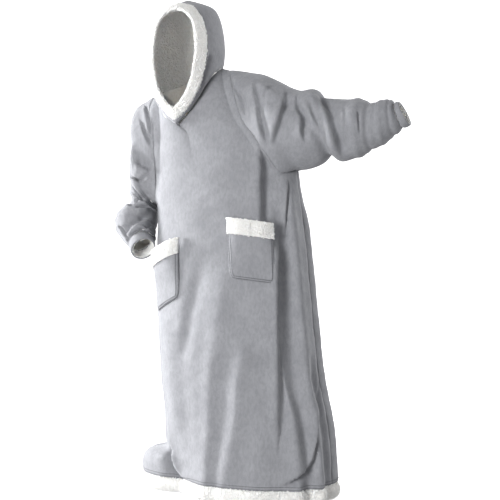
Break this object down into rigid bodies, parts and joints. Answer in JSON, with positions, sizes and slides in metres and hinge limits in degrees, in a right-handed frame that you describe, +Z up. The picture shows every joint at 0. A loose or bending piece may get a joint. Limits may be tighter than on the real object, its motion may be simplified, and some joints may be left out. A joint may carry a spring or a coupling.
{
  "type": "wearable blanket hoodie",
  "caption": "Floor-length hooded blanket robe with sherpa lining and trims, worn with one sleeve held out, hollow with open hem, cuffs, pockets and hood.",
  "frame": {"origin": "middle of the neck, at the height where the cloth lies on the shoulders", "axes": "+Z up, front of the garment toward -Y, the garment's left sleeve (held out) toward +X"},
  "size_m": [1.0643, 0.3939, 1.718],
  "materials": {
    "front_panel": "brushed flannel fleece, grey",
    "back_panel": "brushed flannel fleece, grey",
    "hem_band": "curly sherpa pile, off-white",
    "sleeve_left": "brushed flannel fleece, grey",
    "cuff_left": "brushed flannel fleece, grey",
    "sleeve_right": "brushed flannel fleece, grey",
    "cuff_right": "brushed flannel fleece, grey",
    "hood_left": "brushed flannel fleece, grey",
    "hood_right": "brushed flannel fleece, grey",
    "pocket_left": "brushed flannel fleece, grey",
    "pocket_band_left": "curly sherpa pile, off-white",
    "pocket_right": "brushed flannel fleece, grey",
    "pocket_band_right": "curly sherpa pile, off-white",
    "hood_trim": "curly sherpa pile, off-white"
  },
  "bodies": {
    "root": {"front_panel": "front_panel", "back_panel": "back_panel", "hem_band": "hem_band", "sleeve_left": "sleeve_left", "cuff_left": "cuff_left", "sleeve_right": "sleeve_right", "cuff_right": "cuff_right", "hood_left": "hood_left", "hood_right": "hood_right", "pocket_left": "pocket_left", "pocket_band_left": "pocket_band_left", "pocket_right": "pocket_right", "pocket_band_right": "pocket_band_right", "hood_trim": "hood_trim"}
  },
  "joints": []
}
